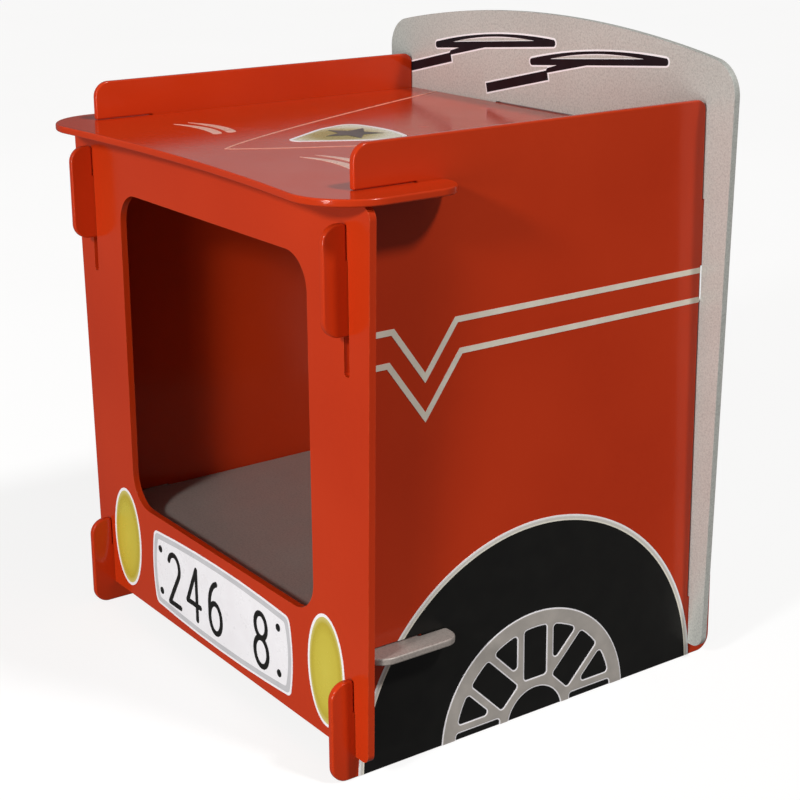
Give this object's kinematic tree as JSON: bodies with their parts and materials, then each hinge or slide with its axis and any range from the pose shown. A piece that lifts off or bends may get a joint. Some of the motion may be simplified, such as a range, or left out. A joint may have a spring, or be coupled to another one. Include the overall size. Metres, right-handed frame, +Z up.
{
  "type": "child's bedside cabinet",
  "caption": "Open-fronted bedside cabinet shaped like a small lorry, made of flat red and silver boards that hook and slot together, with printed wheels, lamps and wipers.",
  "frame": {"origin": "on the floor, under the middle of the bounding box", "axes": "+X to the cabinet's left-to-right direction as seen from the front, +Y from the open front to the back, +Z up"},
  "size_m": [0.485, 0.4198, 0.5545],
  "materials": {
    "red_board": "high-gloss red lacquer on fibreboard, edges rounded",
    "silver_board": "satin silver lacquer with a fine metallic grain",
    "white_print": "gloss print film",
    "silver_print": "satin silver print film",
    "black_print": "satin black print film",
    "olive_print": "gloss yellow-green print film",
    "grey_print": "satin grey print film"
  },
  "bodies": {
    "root": {"front_panel": "red_board", "back_panel": "silver_board", "left_side_panel": "red_board", "right_side_panel": "red_board", "top_panel": "red_board", "bottom_shelf": "silver_board", "left_headlight_rim": "white_print", "right_headlight_rim": "white_print", "left_headlight_lens": "olive_print", "right_headlight_lens": "olive_print", "plate_edge": "white_print", "plate_band": "silver_print", "plate_field": "white_print", "plate_screw_dots": "black_print", "plate_digits": "black_print", "bonnet_line": "white_print", "left_bonnet_vents": "white_print", "right_bonnet_vents": "white_print", "badge_border": "white_print", "badge_field": "olive_print", "badge_star": "grey_print", "left_upper_stripe": "silver_print", "right_upper_stripe": "silver_print", "left_lower_stripe": "silver_print", "right_lower_stripe": "silver_print", "left_wheel_arch": "white_print", "right_wheel_arch": "white_print", "left_tyre": "black_print", "right_tyre": "black_print", "left_rim_outline": "white_print", "right_rim_outline": "white_print", "left_rim": "silver_print", "right_rim": "silver_print", "left_wiper_outline": "white_print", "right_wiper_outline": "white_print", "left_wiper": "black_print", "right_wiper": "black_print"}
  },
  "joints": []
}
